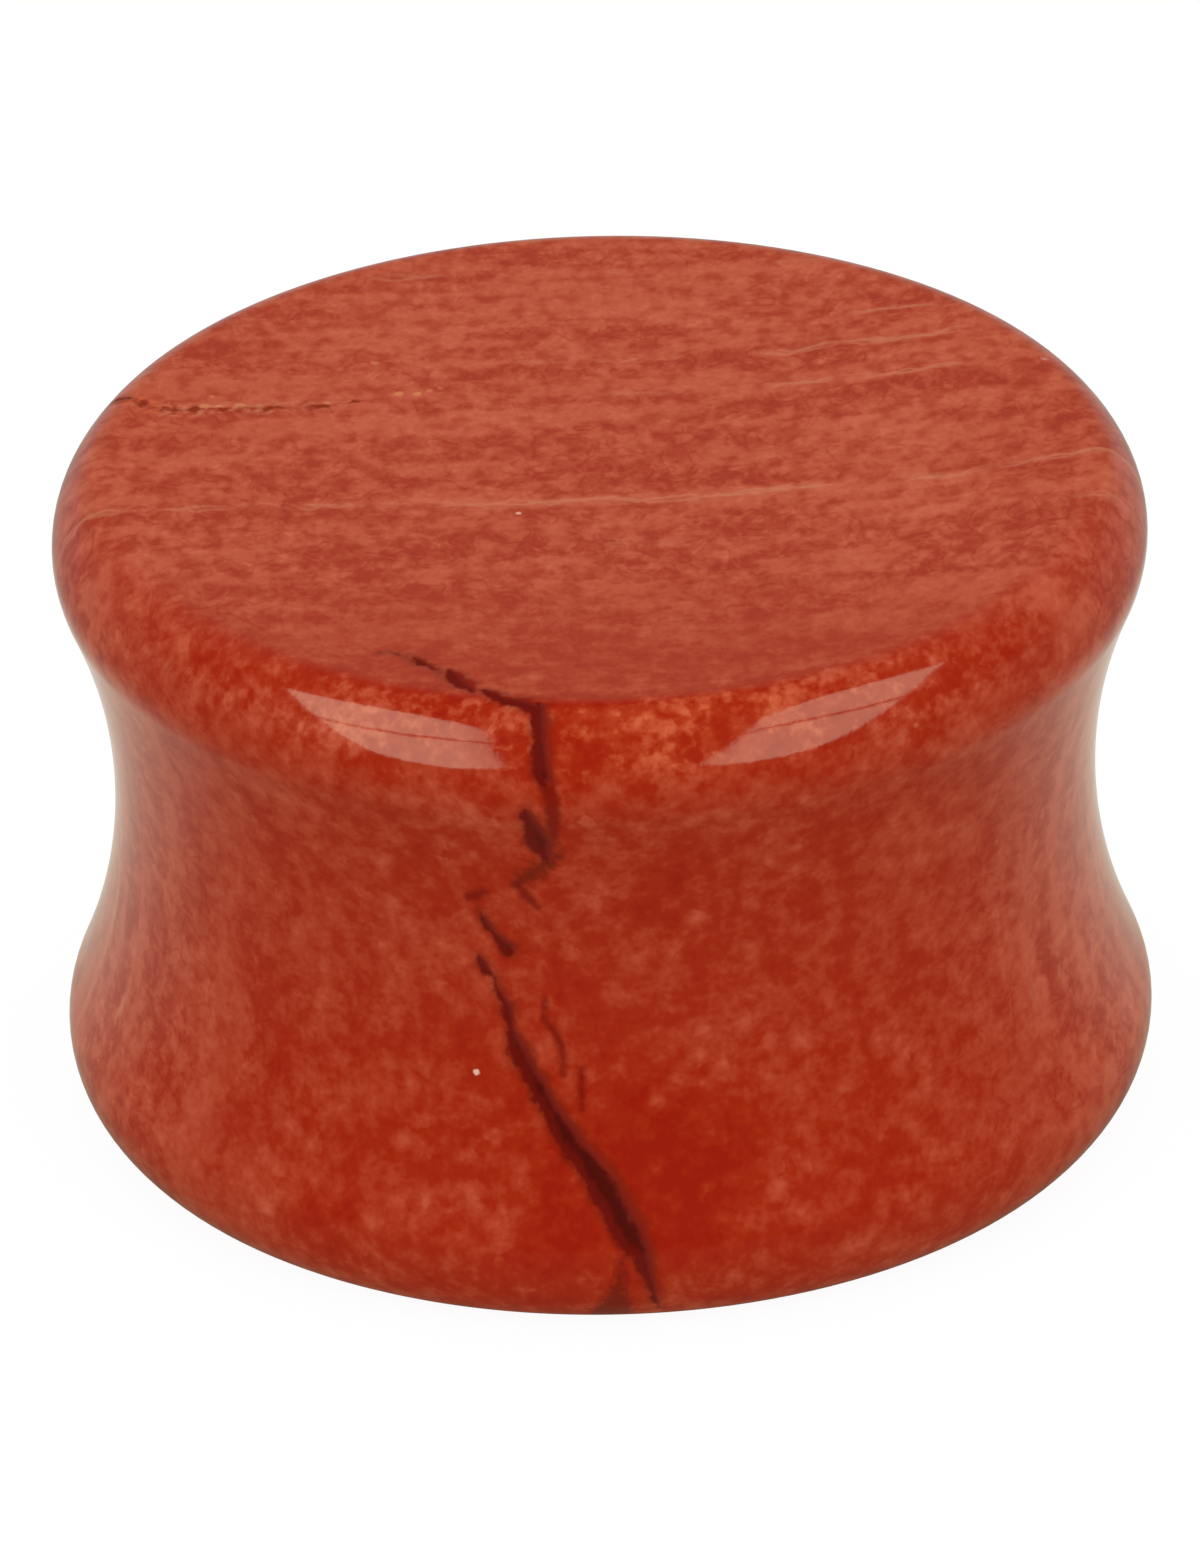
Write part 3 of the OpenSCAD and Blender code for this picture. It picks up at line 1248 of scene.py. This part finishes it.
# What the polish mirrors low down, by how far behind the plug it lies: -1 is straight in
# front, 0 beside and 1 straight behind. The rest of a row is the brightness of red, green
# and blue.
LOW_ROOM = (
    (-1.0, 0.130, 0.120, 0.080),
    (-0.5, 0.150, 0.140, 0.095),
    (-0.2, 0.225, 0.210, 0.155),
    (0.0, 0.360, 0.335, 0.255),
    (0.2, 0.470, 0.440, 0.340),
    (0.4, 0.570, 0.540, 0.430),
    (0.6, 0.670, 0.640, 0.530),
    (0.8, 0.760, 0.735, 0.640),
    (1.0, 0.860, 0.840, 0.760),
)


def low_room_group():
    """Colour that the polish mirrors low down in the room, towards Direction, times Share."""
    nodes, given, out = new_group(
        "Low room", {"Direction": None, "Share": 1.0}, {"Colour": VECTOR}
    )
    level = nodes.vector("MULTIPLY", given["Direction"], (1, 1, 0))
    behind = nodes.split(nodes.vector("NORMALIZE", level))["Y"]
    stops = [(place/2 + 0.5, colour) for place, *colour in LOW_ROOM]
    colour = nodes.ramp(nodes.plus(0.5, behind, 0.5), stops)
    nodes.feed(out, {"Colour": nodes.vector("SCALE", colour, Scale=given["Share"])})
    return nodes.tree


FLOOR_RADIUS = 2.5
FLOOR_GLOW = 0.94
FLOOR_GREY = (0.08, 0.08, 0.08, 1)

# Distances from the axis between which the mirrored floor loses half its brightness
FLOOR_DIMMING = (17*MM, 30*MM)


def floor_material(settings, low_room):
    """Plain white floor, seen as an even white with a faint shadow.

    What the polished stone mirrors of it is bright behind the plug and dim in front, as on a
    white table in a dark room that is lit from behind.
    """
    material, nodes = new_material("floor_white")
    place = nodes.add("TexCoord").outputs["Object"]
    reach = nodes.vector("LENGTH", place, output="Value")
    share = nodes.plus(1.0, nodes.rise(reach, *FLOOR_DIMMING), -0.5)
    mirrored = nodes.group(low_room, {"Direction": place, "Share": share})["Colour"]
    seen = nodes.add("AddShader", {
        0: nodes.shader("BsdfDiffuse", Color=FLOOR_GREY),
        1: nodes.shader("Emission", Strength=FLOOR_GLOW),
    }).outputs[0]
    surface = nodes.by_ray(
        seen=seen,
        mirrored=nodes.shader("Emission", Color=mirrored),
        lighting=nodes.shader("Emission", Strength=settings.bounce),
    )
    nodes.add("OutputMaterial", {"Surface": surface})
    return material


def floor_mesh():
    """Mesh of a level disc at height 0: its edge is (r cos t, r sin t, 0) for t round a turn."""
    turn = np.linspace(0, 2*np.pi, 128, endpoint=False)
    ring = np.stack([np.cos(turn), np.sin(turn), 0*turn], -1)*FLOOR_RADIUS
    mesh = bpy.data.meshes.new("floor")
    mesh.from_pydata(ring.tolist(), [], [list(range(len(ring)))])
    return mesh


# The room that the polish mirrors: brightness where it is dark, tint of the backdrop, and
# the limits between which it sets in. Those are parts of a direction's unit vector: how far
# behind it points, and how far up where the backdrop ends and where it begins.
DARK_ROOM = 0.06
BACKDROP_TINT = (1.30, 1.17, 0.82)
BACKDROP_BEHIND = (0.0, 0.6)
BACKDROP_TOP = (0.66, 0.92)
BACKDROP_BOTTOM = (0.0, 0.3)
LOW_ROOM_SHARE = 0.5
WHITE = 1.1


def studio_world(settings, low_room):
    """Light from all round: white to the camera, and soft to the stone's matt body colour.

    The stone's polish mirrors a dark room with a pale backdrop behind the plug.
    """
    world = bpy.data.worlds.new("studio")
    world.use_nodes = True
    world.node_tree.nodes.clear()
    nodes = Nodes(world.node_tree)
    way = nodes.add("TexCoord").outputs["Generated"]
    _, y, z = nodes.split(way)
    horizon = nodes.group(low_room, {"Direction": way, "Share": LOW_ROOM_SHARE})["Colour"]
    backdrop = nodes.times(nodes.rise(y, *BACKDROP_BEHIND), nodes.fade(z, *BACKDROP_TOP))
    backdrop = nodes.plus(DARK_ROOM, backdrop, settings.backdrop - DARK_ROOM)
    upper = nodes.vector("SCALE", BACKDROP_TINT, Scale=backdrop)
    room = nodes.mix(nodes.rise(z, *BACKDROP_BOTTOM), horizon, upper)
    soft = nodes.plus(settings.fill, nodes.times(z, z), settings.overhead)
    surface = nodes.by_ray(
        seen=nodes.shader("Background", Strength=WHITE),
        mirrored=nodes.shader("Background", Color=room),
        lighting=nodes.shader("Background", Strength=soft),
    )
    nodes.add("OutputWorld", {"Surface": surface})
    return world


def direction(azimuth, elevation):
    """Unit vector towards an azimuth from -Y, positive to the right, and an elevation."""
    a, e = radians(azimuth), radians(elevation)
    return Vector((np.sin(a)*np.cos(e), -np.cos(a)*np.cos(e), np.sin(e)))


SOFTBOX_AZIMUTH, SOFTBOX_ELEVATION = 45, 25
SOFTBOX_DISTANCE = 0.8
SOFTBOX_WIDTH, SOFTBOX_HEIGHT = 0.44, 0.88
SOFTBOX_COLOUR = (1.0, 0.98, 0.94)


def add_softbox(scene, name, side, brightness):
    """A large softbox to one side of the camera, facing the plug.

    Its power is its brightness times pi times its area. The polish doesn't mirror it.
    """
    way = direction(side*SOFTBOX_AZIMUTH, SOFTBOX_ELEVATION)
    light = bpy.data.lights.new(name, "AREA")
    light.shape = "RECTANGLE"
    light.size, light.size_y = SOFTBOX_WIDTH, SOFTBOX_HEIGHT
    light.energy = brightness*np.pi*SOFTBOX_WIDTH*SOFTBOX_HEIGHT
    light.color = SOFTBOX_COLOUR
    softbox = bpy.data.objects.new(name, light)
    softbox.location = way*SOFTBOX_DISTANCE
    softbox.rotation_mode = "QUATERNION"
    softbox.rotation_quaternion = (-way).to_track_quat("-Z", "Y")
    softbox.visible_glossy = False
    scene.collection.objects.link(softbox)


# Bright cards beside the plug, by their edges: the card and the part of it, the places of
# its bottom and its top there in millimetres, and the share of the height where the dark
# seam runs. The inner part is the one nearer to the camera's line of sight.
CARDS = (
    ("left", "outer", (-23.6, -26.6, 13.0), (-31.1, -12.6, 32.8), 0.48),
    ("left", "middle", (-17.9, -32.6, 10.8), (-19.3, -21.5, 38.4), 0.52),
    ("left", "inner", (-11.4, -37.0, 14.4), (-12.5, -28.4, 34.2), 0.65),
    ("right", "outer", (23.7, -26.0, 14.2), (33.4, -9.5, 33.4), 0.49),
    ("right", "middle", (18.6, -32.5, 10.8), (22.4, -18.6, 39.4), 0.56),
    ("right", "inner", (11.4, -38.5, 13.2), (15.9, -27.4, 31.8), 0.74),
)
CARD_COLUMNS = 17
CARD_SEAM = 0.017
CARD_COLOUR = (1.0, 0.93, 0.69, 1)
CARD_SHARES = {"left": 1.1, "right": 0.94}

# Distances aside of the axis between which a card goes from half to full brightness
CARD_DIMMING = (10.5*MM, 16*MM)


def card_mesh(name, side):
    """Mesh of one card: two bands of quads with a narrow gap between them.

    Its point at u and v is bottom(u) + v (top(u) - bottom(u)). With u = -1 at the outer
    edge and 1 at the inner one, bottom and top are the parabolas through their three places.
    """
    rows = [row[2:] for row in CARDS if row[0] == side]
    bottoms, tops = (np.array([row[k] for row in rows])*MM for k in (0, 1))
    u = np.linspace(-1, 1, CARD_COLUMNS)
    shares = np.stack([u*(u - 1)/2, 1 - u*u, u*(u + 1)/2], -1)
    bottom, top, seam = shares @ bottoms, shares @ tops, shares @ [row[2] for row in rows]
    heights = np.stack([0*seam, seam - CARD_SEAM, seam + CARD_SEAM, 0*seam + 1])
    points = bottom + heights[..., None]*(top - bottom)
    here = np.arange(len(u) - 1)
    quads = [
        np.stack([low + here, low + here + 1, high + here + 1, high + here], -1)
        for low, high in ((0, len(u)), (2*len(u), 3*len(u)))
    ]
    mesh = bpy.data.meshes.new(name)
    mesh.from_pydata(points.reshape(-1, 3).tolist(), [], np.concatenate(quads).tolist())
    return mesh


def card_material(name, brightness):
    """Even glow of a card, half as bright at its inner end."""
    material, nodes = new_material(name)
    x = nodes.split(nodes.add("TexCoord").outputs["Object"])["X"]
    share = nodes.rise(nodes.calc("ABSOLUTE", x), *CARD_DIMMING)
    strength = nodes.plus(0.5*brightness, share, 0.5*brightness)
    glow = nodes.shader("Emission", Color=CARD_COLOUR, Strength=strength)
    nodes.add("OutputMaterial", {"Surface": glow})
    return material


def add_card(scene, side, brightness):
    """A bright card close to the plug, which only the stone's polish sees.

    It stands so near that the front lip mirrors it and the lower flare doesn't.
    """
    name = "card_" + side
    mesh = card_mesh(name, side)
    mesh.materials.append(card_material(name, brightness))
    card = bpy.data.objects.new(name, mesh)
    card.visible_camera = False
    card.visible_diffuse = False
    card.visible_shadow = False
    scene.collection.objects.link(card)


# Sensor width and focal length in millimetres, and how far the camera is moved from the line
# through the plug's middle, to its right and upwards
SENSOR_WIDTH, FOCAL_LENGTH = 36, 460.5
CAMERA_SHIFT = (-0.0926*MM, -0.1461*MM, 0)
NEAREST_SEEN, FARTHEST_SEEN = 0.01, 20


def add_camera(scene, settings):
    """The camera, in front of the plug and above it."""
    camera = bpy.data.cameras.new("camera")
    camera.sensor_width = SENSOR_WIDTH
    camera.lens = FOCAL_LENGTH
    camera.clip_start, camera.clip_end = NEAREST_SEEN, FARTHEST_SEEN
    viewer = bpy.data.objects.new("camera", camera)
    way = direction(0, np.degrees(settings.elevation))
    turn = (-way).to_track_quat("-Z", "Y") @ Quaternion((0, 0, 1), settings.roll)
    viewer.rotation_mode = "QUATERNION"
    viewer.rotation_quaternion = turn
    middle = Vector((0, 0, (PLUG_LOW.z + PLUG_HIGH.z)/2))
    viewer.location = middle + turn @ Vector(CAMERA_SHIFT) + way*settings.distance
    scene.collection.objects.link(viewer)
    scene.camera = viewer


class EARPLUG_OT_set_stage(bpy.types.Operator):
    """Lays a plain white floor, places the soft lights and the camera, and sets the world."""

    bl_idname = "earplug.set_stage"
    bl_label = "Set stage"

    def execute(self, context):
        scene = context.scene
        settings = scene.earplug_stage
        low_room = low_room_group()
        mesh = floor_mesh()
        mesh.materials.append(floor_material(settings, low_room))
        floor = bpy.data.objects.new("floor", mesh)
        scene.collection.objects.link(floor)
        scene.world = studio_world(settings, low_room)
        add_softbox(scene, "softbox_left", -1, settings.softbox)
        add_softbox(scene, "softbox_right", 1, settings.softbox)
        for side, share in CARD_SHARES.items():
            add_card(scene, side, settings.card*share)
        add_camera(scene, settings)
        scene.view_settings.view_transform = "Standard"
        return {"FINISHED"}


class EARPLUG_PT_panel(bpy.types.Panel):
    """Lists the plug's and the stage's settings and what makes them."""

    bl_label = "Ear plug"
    bl_idname = "EARPLUG_PT_panel"
    bl_space_type = "VIEW_3D"
    bl_region_type = "UI"
    bl_category = "Ear plug"

    def draw(self, context):
        layout = self.layout
        for group in SETTINGS:
            settings = getattr(context.scene, group)
            column = layout.column(align=True)
            for name in settings.__annotations__:
                column.prop(settings, name)
        layout.operator(EARPLUG_OT_make_plug.bl_idname)
        layout.operator(EARPLUG_OT_set_stage.bl_idname)


# The settings by the name under which the scene holds them
SETTINGS = {
    "earplug_sizes": PlugSizes,
    "earplug_finish": JasperFinish,
    "earplug_stage": StageSettings,
}
CLASSES = (
    *SETTINGS.values(),
    EARPLUG_OT_make_plug,
    EARPLUG_OT_set_stage,
    EARPLUG_PT_panel,
)


def register():
    """Makes the settings, the operators and the panel known to Blender."""
    for each in CLASSES:
        bpy.utils.register_class(each)
    for name, kind in SETTINGS.items():
        setattr(bpy.types.Scene, name, bpy.props.PointerProperty(type=kind))


def unregister():
    """Takes them away again."""
    for name in SETTINGS:
        delattr(bpy.types.Scene, name)
    for each in reversed(CLASSES):
        bpy.utils.unregister_class(each)


def main():
    """Makes the plug and its stage."""
    register()
    bpy.ops.earplug.make_plug()
    bpy.ops.earplug.set_stage()


if __name__ == "__main__":
    main()
